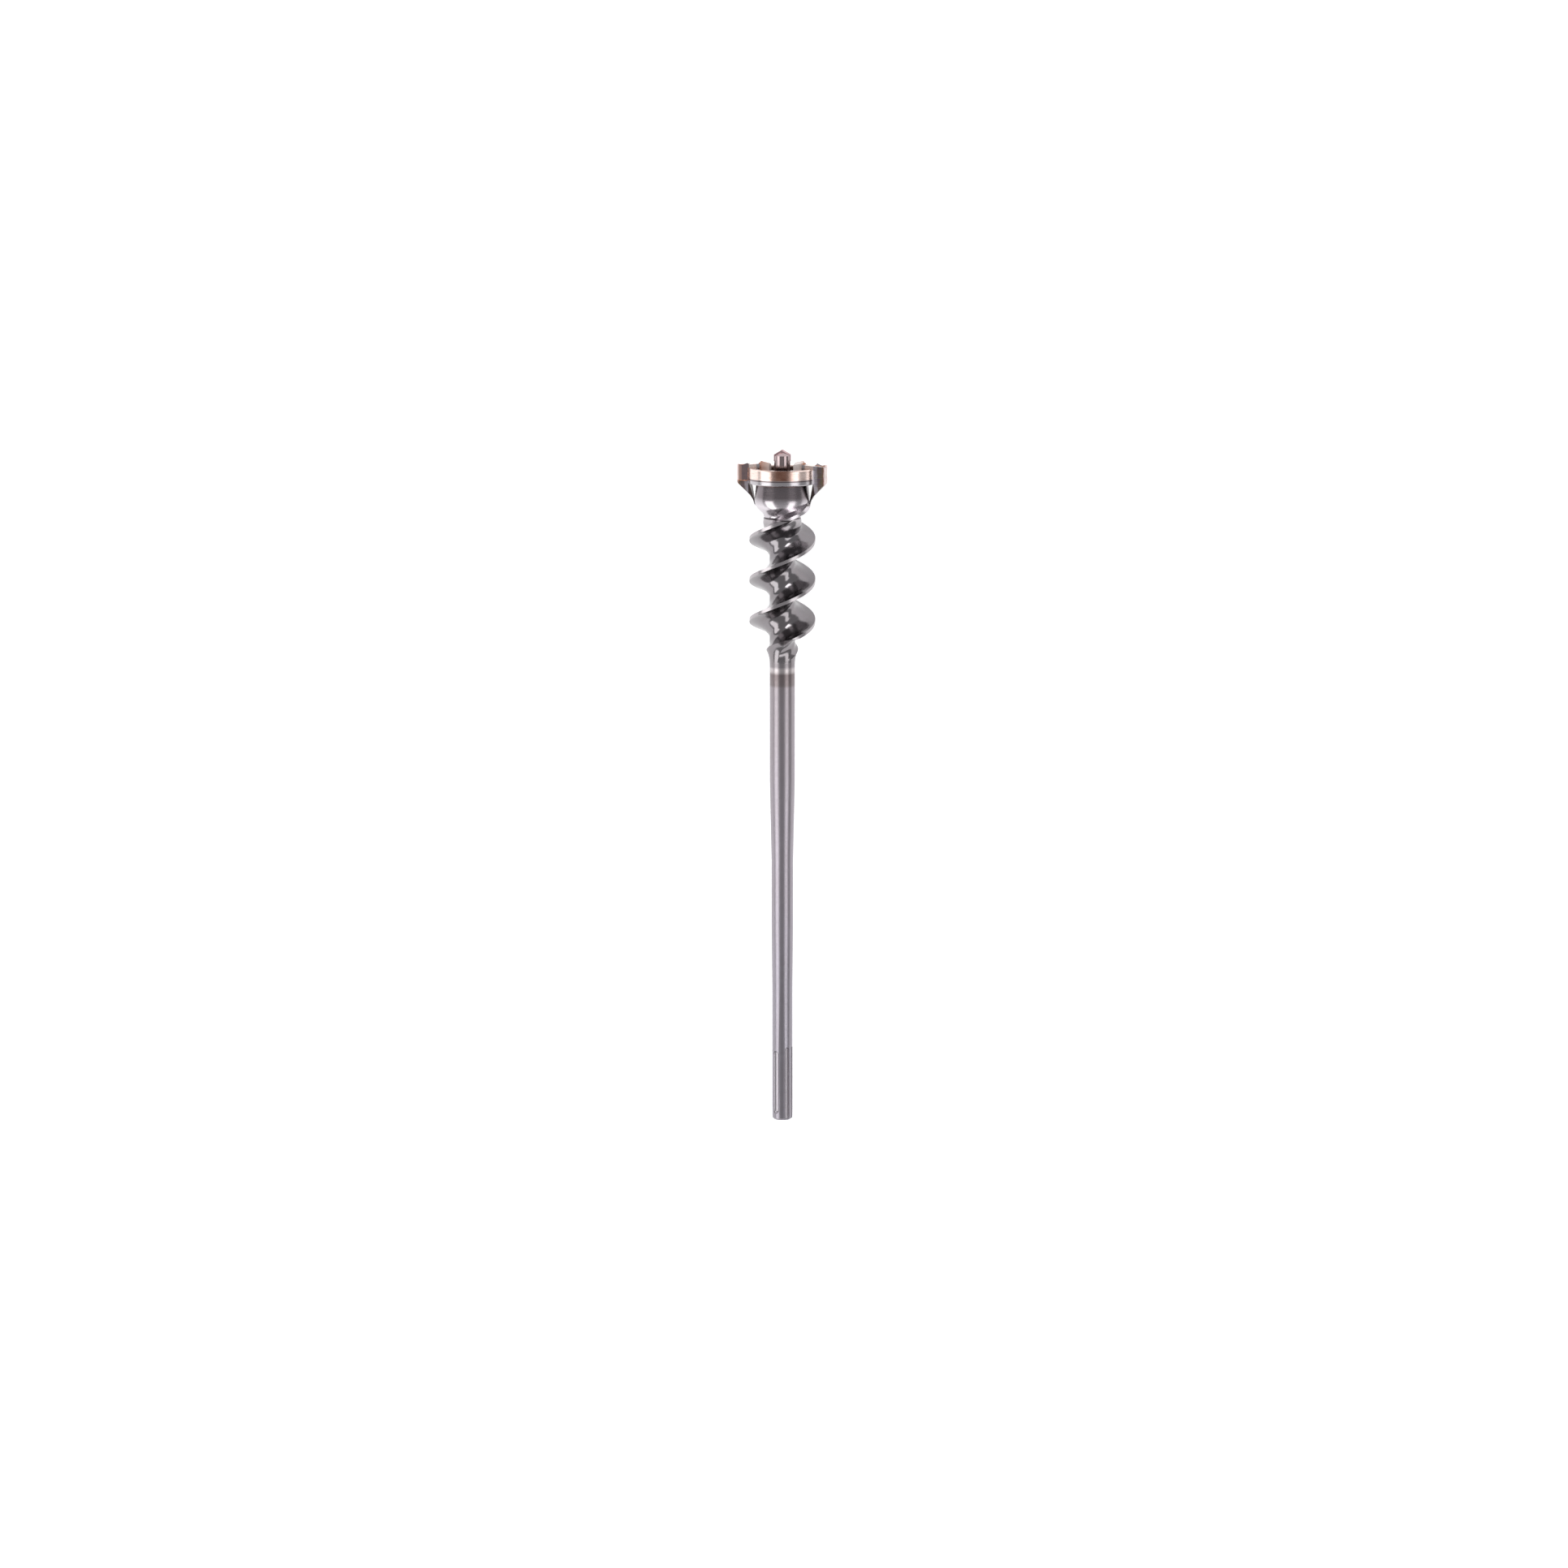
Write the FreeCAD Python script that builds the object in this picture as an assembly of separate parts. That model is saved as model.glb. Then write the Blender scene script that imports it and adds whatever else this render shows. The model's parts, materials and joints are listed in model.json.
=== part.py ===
import FreeCAD, Part
import os
from math import acos, atan, ceil, cos, degrees, pi, radians, sin, sqrt, tan

# Breakthrough drill bit, 80 mm head, 600 mm long, 18 mm slotted shank.
# Everything is first built round the bit's own axis, then laid down on the floor.
# Stations called U run along the axis from the shank end, R is the distance from it.
# Angle 0 looks up at the viewer, positive angles turn to the viewer's right.

Vector = FreeCAD.Vector

# Lengths along the axis, one after the other from the shank end
SHANK_LENGTH = 118.0
SHANK_TAPER = 57.0
WAIST_LENGTH = 58.0
SHAFT_TAPER = 72.0
SHAFT_LENGTH = 98.0
SPIRAL_LENGTH = 136.5
NECK_FOOT_RISE = 1.1
NECK_LENGTH = 2.0
BOWL_HEIGHT = 8.3
WALL_HEIGHT = 19.1
RING_HEIGHT = 13.5
PILOT_HEIGHT = 16.5

SHANK_TOP_U = SHANK_LENGTH
WAIST_BOTTOM_U = SHANK_TOP_U + SHANK_TAPER
WAIST_TOP_U = WAIST_BOTTOM_U + WAIST_LENGTH
TAPER_TOP_U = WAIST_TOP_U + SHAFT_TAPER
WELD_U = TAPER_TOP_U + SHAFT_LENGTH
SEAM_U = WELD_U + SPIRAL_LENGTH
NECK_FOOT_U = SEAM_U + NECK_FOOT_RISE
NECK_U = NECK_FOOT_U + NECK_LENGTH
SHOULDER_U = NECK_U + BOWL_HEIGHT
RING_BOTTOM_U = SHOULDER_U + WALL_HEIGHT
RING_TOP_U = RING_BOTTOM_U + RING_HEIGHT
TIP_POINT_U = RING_TOP_U + PILOT_HEIGHT

# Shaft and shank
SHANK_R = 9.0
SHANK_END_CHAMFER = 1.6
WAIST_R = 9.6
SHAFT_R = 11.15
SEAM_TURN = -4.0

# Slots of the shank: two closed grooves that lock, three open slots that drive
CLOSED_GROOVE_ANGLES = (-40.0, 140.0)
CLOSED_GROOVE_WIDTH = 5.6
CLOSED_GROOVE_DEPTH = 2.5
CLOSED_GROOVE_LENGTH = 56.5
CLOSED_GROOVE_FROM_END = 6.0
OPEN_SLOT_ANGLES = (28.0, 72.0, 230.0)
OPEN_SLOT_WIDTH = 4.0
OPEN_SLOT_DEPTH = 2.3
OPEN_SLOT_LENGTH = 66.0

# Spiral: two starts, right hand
LEAD = 72.0
STARTS = 2
CREST_R = 29.2
CORE_R = 11.3
CREST_LAND = 3.0
FLANK_LENGTH = 13.0
FRONT_CREST_BACK = 1.1
RUNOUT_RISE = 6.5
RUNOUT_ARC_R = 27.3
RUNOUT_OVERRUN = 5.0
COLLAR_R = 16.5
COLLAR_LENGTH = 5.5
COLLAR_SWELL = 14.0
WRAP_PLAIN_LENGTH = 5.0
WRAP_FADE_LENGTH = 12.0
WRAP_END_R = 23.6
WRAP_ROOT_R = 16.3
WRAP_INNER_ROOT_R = 14.0
ROOT_BLEND = 8

FRONT_CREST_U = SEAM_U - FRONT_CREST_BACK
RUNOUT_BOTTOM_U = WELD_U + RUNOUT_RISE
COLLAR_TOP_U = SEAM_U - COLLAR_LENGTH
COLLAR_FOOT_U = COLLAR_TOP_U - COLLAR_SWELL
WRAP_FADE_U = SEAM_U + WRAP_PLAIN_LENGTH
WRAP_END_U = WRAP_FADE_U + WRAP_FADE_LENGTH

# Steps used to draw the flutes and to find the resting slope
SECTION_STEP = 9.0
WRAP_STEP = 3.0
FLUTE_STEPS = 5
LAND_STEPS = 3
REST_STEP = 0.05

# Cup, ring and their hollow
SEAM_STEP = 0.9
NECK_R = 16.1
NECK_ROUND = 4.5
SHOULDER_R = 24.9
SHOULDER_ROUND = 12.0
WALL_TOP_R = 22.9
RING_R = 29.8
RING_BORE_R = 23.4
RING_EDGE = 0.7
CUP_FLOOR_RISE = 2.0
CUP_FLOOR_BEVEL = 2.0

CUP_FLOOR_U = RING_BOTTOM_U + CUP_FLOOR_RISE

# Arms that carry the cutters and reach out to the full cutting radius
HEAD_R = 40.0
CUT_MARGIN = 1.0
ARM_TURN = 13.0
ARM_LEADING = 4.8
ARM_TRAILING = 6.8
ARM_FOOT_HALF = 1.4
ARM_INNER_R = 10.4
ARM_STEP_R = 18.9
ARM_SEAT_DROP = 4.5
ARM_CROWN_INNER = 3.7
ARM_CROWN_OUTER = 1.7
ARM_ROOT_FILLET = 5.0
WING_FOOT_RISE = 0.5
WING_KNEE_R = 28.6
WING_HEEL_R = 26.1
WING_HEEL_DROP = 4.1
WING_TOE_R = 25.0
WING_TOE_DROP = 7.9
WING_ROOT_R = 22.0
WING_ROOT_DROP = 10.1
WINDOW_FOOT_R = 23.9
WINDOW_FOOT_DROP = 5.6
WINDOW_HEEL_R = 25.3
WINDOW_HEEL_DROP = 3.1
WINDOW_TOP_R = 28.9

ARM_SEAT_U = RING_TOP_U - ARM_SEAT_DROP
WING_FOOT_U = RING_BOTTOM_U + WING_FOOT_RISE
WING_KNEE_U = WING_FOOT_U - (HEAD_R - WING_KNEE_R)

# Carbide on the arms
WING_CUTTER_INNER_R = 29.2
WING_CUTTER_THICKNESS = 4.8
WING_CUTTER_FOOT_RISE = 2.5
WING_CUTTER_PROUD = 0.3
WING_PEAK_RISE = 4.4
WING_SADDLE_RISE = 2.5
WING_OUTER_PEAK_RISE = 3.5
WING_PEAK_CORNER = 1.3
INNER_CUTTER_HEIGHT = 10.9
INNER_CUTTER_THICKNESS = 7.4
INNER_CUTTER_FALL = 1.6
INNER_PEAK_CORNER = 0.8
CUTTER_RELIEF = 0.9

WING_CUTTER_BOTTOM_U = RING_BOTTOM_U + WING_CUTTER_FOOT_RISE
WING_SADDLE_R = (WING_CUTTER_INNER_R + HEAD_R) / 2

# Pilot
PILOT_R = 7.25
PILOT_SOCKET_DEPTH = 8.0
PILOT_SOCKET_GAP = 0.05
PILOT_SHOULDER_DROP = 5.6
PILOT_POINT_SLOPE = 31.0
TIP_R = 7.6
TIP_THICKNESS = 5.0
TIP_LENGTH = 10.5
TIP_ROOF_HEIGHT = 4.6
TIP_RELIEF = 1.2

PILOT_SOCKET_U = CUP_FLOOR_U - PILOT_SOCKET_DEPTH
PILOT_SHOULDER_U = TIP_POINT_U - PILOT_SHOULDER_DROP
TIP_BOTTOM_U = TIP_POINT_U - TIP_LENGTH


def at(radius, angle, u):
    turn = radians(angle)
    return Vector(radius * sin(turn), u, radius * cos(turn))


def face_of(points):
    return Part.Face(Part.makePolygon(list(points) + [points[0]]))


def turned(points):
    half = Part.Face(Part.Wire(Part.__sortEdges__(rounded(points))))
    return half.revolve(Vector(0, 0, 0), Vector(0, 1, 0), 360)


def rounded(points):
    # closed half profile of (r, u) or (r, u, corner radius)
    corners = [Vector(p[0], p[1], 0) for p in points]
    ends = []
    edges = []
    for i, here in enumerate(corners):
        back = (corners[i - 1] - here).normalize()
        ahead = (corners[(i + 1) % len(corners)] - here).normalize()
        radius = points[i][2] if len(points[i]) > 2 else 0
        if not radius:
            ends.append((here, here))
            continue
        half = back.getAngle(ahead) / 2
        reach = radius / tan(half)
        middle = here + (back + ahead).normalize() * (radius / sin(half) - radius)
        start, stop = here + back * reach, here + ahead * reach
        ends.append((start, stop))
        edges.append(Part.Arc(start, middle, stop).toShape())
    for i in range(len(ends)):
        edges.append(Part.makeLine(ends[i - 1][1], ends[i][0]))
    return edges


def curve_through(points, stations):
    curve = Part.BSplineCurve()
    curve.interpolate(Points=points, Parameters=stations)
    return curve


def surface_through(rows, stations):
    # smooth surface through a grid of points, one row for each station
    steps = [float(i) for i in range(len(rows[0]))]
    across = [curve_through(row, steps) for row in rows]
    columns = zip(*[curve.getPoles() for curve in across])
    along = [curve_through(list(column), stations) for column in columns]
    surface = Part.BSplineSurface()
    surface.buildFromPolesMultsKnots(
        [list(row) for row in zip(*[curve.getPoles() for curve in along])],
        along[0].getMultiplicities(), across[0].getMultiplicities(),
        along[0].getKnots(), across[0].getKnots(),
        False, False, along[0].Degree, across[0].Degree,
    )
    return surface.toShape()


def spun(shape, angle):
    copy = shape.copy()
    copy.rotate(Vector(0, 0, 0), Vector(0, 1, 0), angle)
    return copy


# Shaft with its slotted shank

def sausage(radius, centre_r, angle, from_u, to_u):
    start = at(centre_r, angle, from_u)
    end = at(centre_r, angle, to_u)
    body = Part.makeCylinder(radius, to_u - from_u, start, Vector(0, 1, 0))
    return body.fuse([Part.makeSphere(radius, start), Part.makeSphere(radius, end)])


def groove_tool(width, depth, angle, from_u, to_u):
    lip = sqrt(SHANK_R ** 2 - (width / 2) ** 2)
    floor_r = SHANK_R - depth
    rise = lip - floor_r
    radius = (rise ** 2 + (width / 2) ** 2) / (2 * rise)
    return sausage(radius, floor_r + radius, angle, from_u, to_u)


def shaft():
    profile = [
        (0, 0),
        (SHANK_R - SHANK_END_CHAMFER, 0),
        (SHANK_R, SHANK_END_CHAMFER),
        (SHANK_R, SHANK_TOP_U),
        (WAIST_R, WAIST_BOTTOM_U),
        (WAIST_R, WAIST_TOP_U),
        (SHAFT_R, TAPER_TOP_U),
        (SHAFT_R, WELD_U),
        (0, WELD_U),
    ]
    # the turned face's seam runs along a land between two slots
    body = spun(turned(profile), SEAM_TURN)
    tools = []
    for angle in CLOSED_GROOVE_ANGLES:
        start = CLOSED_GROOVE_FROM_END + CLOSED_GROOVE_WIDTH / 2
        end = CLOSED_GROOVE_FROM_END + CLOSED_GROOVE_LENGTH - CLOSED_GROOVE_WIDTH / 2
        tools.append(groove_tool(CLOSED_GROOVE_WIDTH, CLOSED_GROOVE_DEPTH, angle, start, end))
    for angle in OPEN_SLOT_ANGLES:
        end = OPEN_SLOT_LENGTH - OPEN_SLOT_WIDTH / 2
        tools.append(groove_tool(OPEN_SLOT_WIDTH, OPEN_SLOT_DEPTH, angle, -OPEN_SLOT_WIDTH, end))
    return body.cut(tools)


# Spiral: two flights round a core, turned away to the shaft below and fading into the cup above

def blend(u, from_u, to_u):
    share = min(max((u - from_u) / (to_u - from_u), 0.0), 1.0)
    return (1 - cos(pi * share)) / 2


def runout_radius(u):
    rise = min(max(u - RUNOUT_BOTTOM_U, 0.0), RUNOUT_ARC_R)
    return min(CREST_R, SHAFT_R + RUNOUT_ARC_R - sqrt(RUNOUT_ARC_R ** 2 - rise ** 2))


def wrap_crest(u):
    return CREST_R + (WRAP_END_R - CREST_R) * blend(u, WRAP_FADE_U, WRAP_END_U)


def spiral_root(u):
    return CORE_R + (COLLAR_R - CORE_R) * blend(u, COLLAR_FOOT_U, COLLAR_TOP_U)


def wrap_root(u):
    return WRAP_ROOT_R + (WRAP_INNER_ROOT_R - WRAP_ROOT_R) * blend(u, SEAM_U, NECK_U)


def flank_radius(s, root):
    # concave quarter ellipse from the crest land down to the core, rounded into a thicker root
    inward = min(max((CREST_LAND / 2 + FLANK_LENGTH - s) / FLANK_LENGTH, 0.0), 1.0)
    plain = CORE_R + (CREST_R - CORE_R) * (1 - sqrt(1 - inward ** 2))
    return (plain ** ROOT_BLEND + root ** ROOT_BLEND - CORE_R ** ROOT_BLEND) ** (1 / ROOT_BLEND)


def land_half(crest):
    # half the crest's width along the axis, wider where the flight is turned down
    share = min(1 - (crest - CORE_R) / (CREST_R - CORE_R), 1.0)
    return CREST_LAND / 2 + FLANK_LENGTH * (1 - sqrt(1 - share ** 2))


def section(u, root, crest):
    # rows of points of the crest lands and flutes, in turn round the axis
    edge = land_half(crest)
    pitch = LEAD / STARTS
    reach = pitch / 2 - edge
    down = [edge + reach * (1 - cos(pi / 2 * i / FLUTE_STEPS)) for i in range(FLUTE_STEPS + 1)]
    depth = [crest] + [flank_radius(s, root) for s in down[1:]]
    flute = list(zip(down, depth)) + [(pitch - s, r) for s, r in zip(down[-2::-1], depth[-2::-1])]
    land = [(edge * i / LAND_STEPS, crest) for i in range(-LAND_STEPS, LAND_STEPS + 1)]
    rows = []
    for start in range(STARTS):
        for curve in (land, flute):
            turns = [(360 * (u - FRONT_CREST_U - start * pitch - s) / LEAD, r) for s, r in curve]
            rows.append([at(r, angle, u) for angle, r in turns])
    return rows


def evenly(from_u, to_u, step):
    count = ceil((to_u - from_u) / step)
    return [from_u + (to_u - from_u) * i / count for i in range(count + 1)]


def wrapped_solid(zones, root_of, crest_of):
    # each zone is a list of stations; its faces meet the next zone's along the shared station
    faces = []
    for stations in zones:
        sections = [section(u, root_of(u), crest_of(u)) for u in stations]
        faces += [surface_through(list(rows), stations) for rows in zip(*sections)]
    for u in (zones[0][0], zones[-1][-1]):
        rows = section(u, root_of(u), crest_of(u))
        edges = [curve_through(row, [float(i) for i in range(len(row))]).toShape() for row in rows]
        faces.append(Part.Face(Part.Wire(edges)))
    shell = Part.makeCompound(faces)
    shell.sewShape()
    solid = Part.Solid(shell.Shells[0])
    if solid.Volume < 0:
        solid.reverse()
    return solid


def runout_tool():
    # everything outside the turned run-out, from the shaft's own radius up to the full crest
    turn = acos(1 - (CREST_R - SHAFT_R) / RUNOUT_ARC_R) + radians(RUNOUT_OVERRUN)

    def on_arc(angle):
        return Vector(
            SHAFT_R + RUNOUT_ARC_R * (1 - cos(angle)),
            RUNOUT_BOTTOM_U + RUNOUT_ARC_R * sin(angle),
            0,
        )

    top = on_arc(turn)
    below = WELD_U - CREST_LAND
    outside = 2 * CREST_R
    corners = [
        top,
        Vector(outside, top.y, 0),
        Vector(outside, below, 0),
        Vector(SHAFT_R, below, 0),
        on_arc(0),
    ]
    edges = [Part.Arc(on_arc(0), on_arc(turn / 2), top).toShape()]
    edges += [Part.makeLine(a, b) for a, b in zip(corners, corners[1:])]
    return Part.Face(Part.Wire(edges)).revolve(Vector(0, 0, 0), Vector(0, 1, 0), 360)


def spiral():
    stations = evenly(WELD_U, SEAM_U, SECTION_STEP)
    body = wrapped_solid([stations], spiral_root, lambda u: CREST_R)
    return body.cut(runout_tool())


def flight_wraps():
    zones = [evenly(SEAM_U, WRAP_FADE_U, WRAP_STEP), evenly(WRAP_FADE_U, WRAP_END_U, WRAP_STEP)]
    return wrapped_solid(zones, wrap_root, wrap_crest)


def spiral_shaft():
    return shaft().fuse(spiral()).removeSplitter().Solids[0]


# Cutter head

def cup_profile():
    return [
        (COLLAR_R - SEAM_STEP, SEAM_U),
        (NECK_R, NECK_FOOT_U),
        (NECK_R, NECK_U, NECK_ROUND),
        (SHOULDER_R, SHOULDER_U, SHOULDER_ROUND),
        (WALL_TOP_R, RING_BOTTOM_U),
        (RING_R - RING_EDGE, RING_BOTTOM_U),
        (RING_R, RING_BOTTOM_U + RING_EDGE),
        (RING_R, RING_TOP_U - RING_EDGE),
        (RING_R - RING_EDGE, RING_TOP_U),
    ]


def cup_and_ring():
    socket_r = PILOT_R + PILOT_SOCKET_GAP
    return turned(cup_profile() + [
        (RING_BORE_R + RING_EDGE, RING_TOP_U),
        (RING_BORE_R, RING_TOP_U - RING_EDGE),
        (RING_BORE_R, CUP_FLOOR_U + CUP_FLOOR_BEVEL),
        (RING_BORE_R - CUP_FLOOR_BEVEL, CUP_FLOOR_U),
        (socket_r, CUP_FLOOR_U),
        (socket_r, PILOT_SOCKET_U),
        (0, PILOT_SOCKET_U),
        (0, SEAM_U),
    ])


def slab(profile, from_across, to_across):
    # a side view of the arm before it is turned, made solid between two distances across it
    side = face_of([Vector(r, u, from_across) for r, u in profile])
    return side.extrude(Vector(0, 0, to_across - from_across))


def upright(radius, from_u, to_u):
    return Part.makeCylinder(radius, to_u - from_u, Vector(0, from_u, 0), Vector(0, 1, 0))


def arm_thickness():
    # full width above the ring's foot, drawn in to a thin strut where it meets the cup
    across = [
        (-ARM_FOOT_HALF, WING_KNEE_U - WING_ROOT_DROP),
        (-ARM_FOOT_HALF, WING_KNEE_U - WING_HEEL_DROP),
        (-ARM_LEADING, RING_BOTTOM_U),
        (-ARM_LEADING, TIP_POINT_U),
        (ARM_TRAILING, TIP_POINT_U),
        (ARM_TRAILING, RING_BOTTOM_U),
        (ARM_FOOT_HALF, WING_KNEE_U - WING_HEEL_DROP),
        (ARM_FOOT_HALF, WING_KNEE_U - WING_ROOT_DROP),
    ]
    return face_of([Vector(0, u, z) for z, u in across]).extrude(Vector(HEAD_R, 0, 0))


def arm_root():
    # hollow fillet that leads the ring's outside into the arm's trailing side
    ring_r = RING_R - RING_EDGE
    corner = Vector(sqrt(ring_r ** 2 - ARM_TRAILING ** 2), WING_FOOT_U, ARM_TRAILING)
    on_ring_z = ARM_TRAILING + ARM_ROOT_FILLET
    on_ring = Vector(sqrt(ring_r ** 2 - on_ring_z ** 2), WING_FOOT_U, on_ring_z)
    on_arm = corner + Vector(ARM_ROOT_FILLET, 0, 0)
    inside = Vector(on_ring.x, WING_FOOT_U, 0)
    middle = corner + (on_ring + on_arm - corner * 2) * (1 - sqrt(0.5))
    edges = [
        Part.Arc(on_ring, middle, on_arm).toShape(),
        Part.makeLine(on_arm, Vector(on_arm.x, WING_FOOT_U, 0)),
        Part.makeLine(Vector(on_arm.x, WING_FOOT_U, 0), inside),
        Part.makeLine(inside, on_ring),
    ]
    height = RING_TOP_U - RING_EDGE - WING_FOOT_U
    return Part.Face(Part.Wire(edges)).extrude(Vector(0, height, 0))


def arm():
    past_end = HEAD_R + CUT_MARGIN
    in_floor = CUP_FLOOR_U - CUT_MARGIN
    profile = [
        (ARM_INNER_R, in_floor),
        (ARM_INNER_R, ARM_SEAT_U),
        (ARM_STEP_R, ARM_SEAT_U),
        (ARM_STEP_R, RING_TOP_U + ARM_CROWN_INNER),
        (past_end, RING_TOP_U + ARM_CROWN_OUTER),
        (past_end, WING_FOOT_U + CUT_MARGIN),
        (WING_KNEE_R, WING_KNEE_U),
        (WING_HEEL_R, WING_KNEE_U - WING_HEEL_DROP),
        (WING_TOE_R, WING_KNEE_U - WING_TOE_DROP),
        (WING_ROOT_R, WING_KNEE_U - WING_ROOT_DROP),
        (WINDOW_FOOT_R, WING_KNEE_U - WINDOW_FOOT_DROP),
        (WINDOW_HEEL_R, WING_KNEE_U - WINDOW_HEEL_DROP),
        (WINDOW_TOP_R, RING_BOTTOM_U),
        (WINDOW_TOP_R, in_floor),
    ]
    body = slab(profile, -ARM_TRAILING, ARM_TRAILING).common(arm_thickness())
    return body.common(upright(HEAD_R, SEAM_U, TIP_POINT_U)).fuse(arm_root())


def wing_pocket():
    past_end = HEAD_R + 2 * CUT_MARGIN
    profile = [
        (WING_CUTTER_INNER_R, WING_CUTTER_BOTTOM_U),
        (WING_CUTTER_INNER_R, TIP_POINT_U),
        (past_end, TIP_POINT_U),
        (past_end, WING_CUTTER_BOTTOM_U),
    ]
    return slab(profile, -ARM_LEADING - CUT_MARGIN, WING_CUTTER_THICKNESS - ARM_LEADING)


def both_arms(shape):
    # the right arm's leading side is the far side, because the bit turns with its right-hand spiral
    first = spun(shape, -ARM_TURN)
    return [first, spun(first, 180)]


def cutter_head():
    head = cup_and_ring()
    for piece in [flight_wraps()] + both_arms(arm()):
        head = head.fuse(piece)
    socket = upright(PILOT_R + PILOT_SOCKET_GAP, PILOT_SOCKET_U, CUP_FLOOR_U)
    head = head.cut(both_arms(wing_pocket()) + [socket])
    return head.removeSplitter().Solids[0]


# Carbide

def relieved_block(edge, foot, relief, leading_across, trailing_across):
    # the cutting edge runs along the leading face and falls away by the relief behind it
    lead = edge + foot
    trail = [(r, u - relief) for r, u in edge] + foot
    wires = []
    for outline, across in ((lead, leading_across), (trail, trailing_across)):
        wires.append(Part.makePolygon([Vector(r, u, across) for r, u in outline + outline[:1]]))
    return Part.makeLoft(wires, True, True)


def wing_cutter():
    past_end = HEAD_R + CUT_MARGIN
    peak_u = RING_TOP_U + WING_PEAK_RISE
    outer_peak_u = RING_TOP_U + WING_OUTER_PEAK_RISE
    edge = [
        (WING_CUTTER_INNER_R, peak_u - WING_PEAK_CORNER),
        (WING_CUTTER_INNER_R + WING_PEAK_CORNER, peak_u),
        (WING_SADDLE_R, RING_TOP_U + WING_SADDLE_RISE),
        (HEAD_R - WING_PEAK_CORNER, outer_peak_u),
        (past_end, outer_peak_u - WING_PEAK_CORNER / 2),
    ]
    foot = [(past_end, WING_CUTTER_BOTTOM_U), (WING_CUTTER_INNER_R, WING_CUTTER_BOTTOM_U)]
    leading = -ARM_LEADING - WING_CUTTER_PROUD
    trailing = -ARM_LEADING + WING_CUTTER_THICKNESS
    body = relieved_block(edge, foot, CUTTER_RELIEF, leading, trailing)
    return body.common(upright(HEAD_R, SEAM_U, TIP_POINT_U)).Solids[0]


def inner_cutter():
    peak_u = ARM_SEAT_U + INNER_CUTTER_HEIGHT
    edge = [
        (ARM_INNER_R, peak_u - INNER_CUTTER_FALL),
        (ARM_STEP_R - INNER_PEAK_CORNER, peak_u),
        (ARM_STEP_R, peak_u - INNER_PEAK_CORNER),
    ]
    foot = [(ARM_STEP_R, ARM_SEAT_U), (ARM_INNER_R, ARM_SEAT_U)]
    trailing = -ARM_LEADING + INNER_CUTTER_THICKNESS
    return relieved_block(edge, foot, 2 * CUTTER_RELIEF, -ARM_LEADING, trailing)


# Pilot

def pilot_stem():
    point_u = PILOT_SHOULDER_U + PILOT_R * tan(radians(PILOT_POINT_SLOPE))
    profile = [
        (0, PILOT_SOCKET_U),
        (PILOT_R, PILOT_SOCKET_U),
        (PILOT_R, PILOT_SHOULDER_U),
        (0, point_u),
    ]
    body = turned(profile)
    slot = Part.makeBox(
        4 * PILOT_R, TIP_POINT_U - TIP_BOTTOM_U, TIP_THICKNESS,
        Vector(-2 * PILOT_R, TIP_BOTTOM_U, -TIP_THICKNESS / 2),
    )
    return body.cut(slot).Solids[0]


def pilot_tip():
    # a roof-shaped plate whose two cutting edges fall away to opposite sides
    fall = TIP_ROOF_HEIGHT / TIP_R
    past_edge = TIP_R + CUT_MARGIN
    roof_foot = TIP_POINT_U - fall * past_edge
    profile = [
        (-past_edge, TIP_BOTTOM_U),
        (past_edge, TIP_BOTTOM_U),
        (past_edge, roof_foot),
        (0, TIP_POINT_U),
        (-past_edge, roof_foot),
    ]
    plate = slab(profile, -TIP_THICKNESS / 2, TIP_THICKNESS / 2)
    plate = plate.common(upright(TIP_R, TIP_BOTTOM_U, TIP_POINT_U))
    reliefs = []
    for side in (1, -1):
        low = TIP_POINT_U - TIP_RELIEF
        high = TIP_POINT_U + CUT_MARGIN
        wedge = face_of([
            Vector(0, high, 0),
            Vector(0, TIP_POINT_U, 0),
            Vector(0, low, side * TIP_THICKNESS / 2),
            Vector(0, low, side * TIP_THICKNESS),
            Vector(0, high, side * TIP_THICKNESS),
        ])
        reliefs.append(wedge.extrude(Vector(side * past_edge, -fall * past_edge, 0)))
    return plate.cut(reliefs).Solids[0]


# Lying down: the shank end and the lowest crest of the spiral rest on the floor

def resting_slope():
    # steepest line from the shank's edge to the lowest point of the spiral at each station
    steepest = 0.0
    pitch = LEAD / STARTS
    for u in evenly(RUNOUT_BOTTOM_U, SEAM_U, REST_STEP):
        crest = runout_radius(u)
        off = (u - FRONT_CREST_U) % pitch
        off = min(off, pitch - off)
        turn = radians(360 * max(0.0, off - land_half(crest)) / LEAD)
        steepest = max(steepest, (crest * cos(turn) - SHANK_R) / (u - SHANK_END_CHAMFER))
    return degrees(atan(steepest))


def laid_down(parts):
    tilt = resting_slope()
    for shape in parts.values():
        shape.rotate(Vector(0, 0, 0), Vector(1, 0, 0), tilt)
    box = Part.makeCompound(list(parts.values())).optimalBoundingBox(False, False)
    shift = Vector(0, -(box.YMin + box.YMax) / 2, -box.ZMin)
    for shape in parts.values():
        shape.translate(shift)
    return parts


def build():
    wing_left_right = both_arms(wing_cutter())
    inner_left_right = both_arms(inner_cutter())
    return {
        "spiral_shaft": spiral_shaft(),
        "cutter_head": cutter_head(),
        "pilot_stem": pilot_stem(),
        "pilot_tip": pilot_tip(),
        "wing_cutter_right": wing_left_right[0],
        "wing_cutter_left": wing_left_right[1],
        "inner_cutter_right": inner_left_right[0],
        "inner_cutter_left": inner_left_right[1],
    }


os.makedirs("parts", exist_ok=True)
for name, shape in laid_down(build()).items():
    shape.exportStep("parts/" + name + ".step")
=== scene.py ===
import json
from math import atan2, cos, pi, radians, sin

import bmesh
import bpy
from mathutils import Matrix, Vector


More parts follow.
